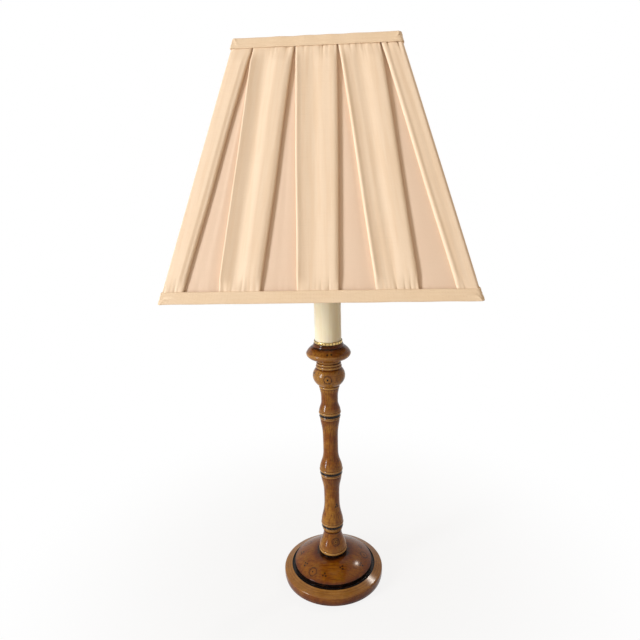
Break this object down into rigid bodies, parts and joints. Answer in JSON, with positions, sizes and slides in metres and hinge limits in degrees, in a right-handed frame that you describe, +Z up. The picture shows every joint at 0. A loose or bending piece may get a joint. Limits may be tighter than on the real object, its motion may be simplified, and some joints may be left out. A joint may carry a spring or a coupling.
{
  "type": "table lamp",
  "caption": "Faux bamboo table lamp: turned stem on a round base, candle sleeve, harp, and a square box-pleated shade.",
  "frame": {"origin": "on the table, under the middle of the base, on the axis of the rod", "axes": "+Z up along the rod, -Y towards the front of the lamp, +X to the right seen from the front"},
  "size_m": [0.305, 0.305, 0.6708],
  "materials": {
    "antiqued_wood": "glossy, antiqued, with dark painted grooves, eyes and dots",
    "ivory_sleeve": "satin ivory",
    "polished_brass": "polished",
    "plated_brass": "satin, plated",
    "frame_wire": "plated wire",
    "plated_steel": "zinc plated",
    "tungsten": "fine wire",
    "cast_iron": "as cast",
    "green_felt": "napped felt",
    "brown_plastic": "gloss, moulded",
    "phenolic": "moulded",
    "fibre_liner": "pressed fibre",
    "bulb_glass": "soft white, frosted",
    "bulb_metal": "bright",
    "black_glass": "black",
    "shade_cloth": "cream, box pleated, gathered at both bands",
    "band_cloth": "cream, ribbed tape",
    "lining_cloth": "plain weave"
  },
  "bodies": {
    "root": {"base_felt": "green_felt", "base_weight": "cast_iron", "base_disc": "antiqued_wood", "cord_bushing": "brown_plastic", "rod_washer": "plated_steel", "rod_nut": "plated_steel", "threaded_rod": "plated_steel", "foot_vase": "antiqued_wood", "lower_section": "antiqued_wood", "middle_section": "antiqued_wood", "upper_section": "antiqued_wood", "candle_cup": "antiqued_wood", "sleeve_ring": "polished_brass", "candle_sleeve": "ivory_sleeve", "sleeve_cap": "polished_brass", "harp_saddle": "plated_brass", "socket_cap": "polished_brass", "socket_shell": "polished_brass", "socket_liner": "fibre_liner", "socket_body": "phenolic", "screw_shell": "plated_brass", "centre_contact": "plated_brass", "terminal_screws": "plated_brass"},
    "switch": {"switch_shaft": "plated_brass", "switch_knob": "brown_plastic"},
    "bulb": {"bulb_contact": "bulb_metal", "bulb_insulator": "black_glass", "bulb_cap": "bulb_metal", "bulb_glass": "bulb_glass", "bulb_stem": "bulb_glass", "bulb_filament": "tungsten"},
    "harp": {"harp_wire": "plated_brass", "harp_stud": "plated_brass"},
    "ferrule_left": {"ferrule_left": "plated_brass"},
    "ferrule_right": {"ferrule_right": "plated_brass"},
    "finial": {"finial": "polished_brass"},
    "shade": {"spider": "frame_wire", "top_frame": "frame_wire", "bottom_frame": "frame_wire", "corner_ribs": "frame_wire", "shade_lining": "lining_cloth", "cover_front": "shade_cloth", "cover_right": "shade_cloth", "cover_back": "shade_cloth", "cover_left": "shade_cloth", "top_band": "band_cloth", "bottom_band": "band_cloth"}
  },
  "joints": [
    {"name": "harp_lift", "type": "slide", "parent": "root", "child": "harp", "axis": [0, 0, 1], "range_m": [0, 0.03]},
    {"name": "ferrule_left_slide", "type": "slide", "parent": "harp", "child": "ferrule_left", "axis": [0, 0, 1], "range_m": [0, 0.01]},
    {"name": "ferrule_right_slide", "type": "slide", "parent": "harp", "child": "ferrule_right", "axis": [0, 0, 1], "range_m": [0, 0.01]},
    {"name": "shade_turn", "type": "hinge", "parent": "harp", "child": "shade", "pos_m": [0, 0, 0.6428], "axis": [0, 0, 1], "continuous": true},
    {"name": "finial_turn", "type": "hinge", "parent": "harp", "child": "finial", "pos_m": [0, 0, 0.65], "axis": [0, 0, 1], "continuous": true},
    {"name": "switch_turn", "type": "hinge", "parent": "root", "child": "switch", "pos_m": [0, -0.0188, 0.4628], "axis": [0, -1, 0], "continuous": true},
    {"name": "bulb_turn", "type": "hinge", "parent": "root", "child": "bulb", "pos_m": [0, 0, 0.49], "axis": [0, 0, 1], "continuous": true}
  ]
}
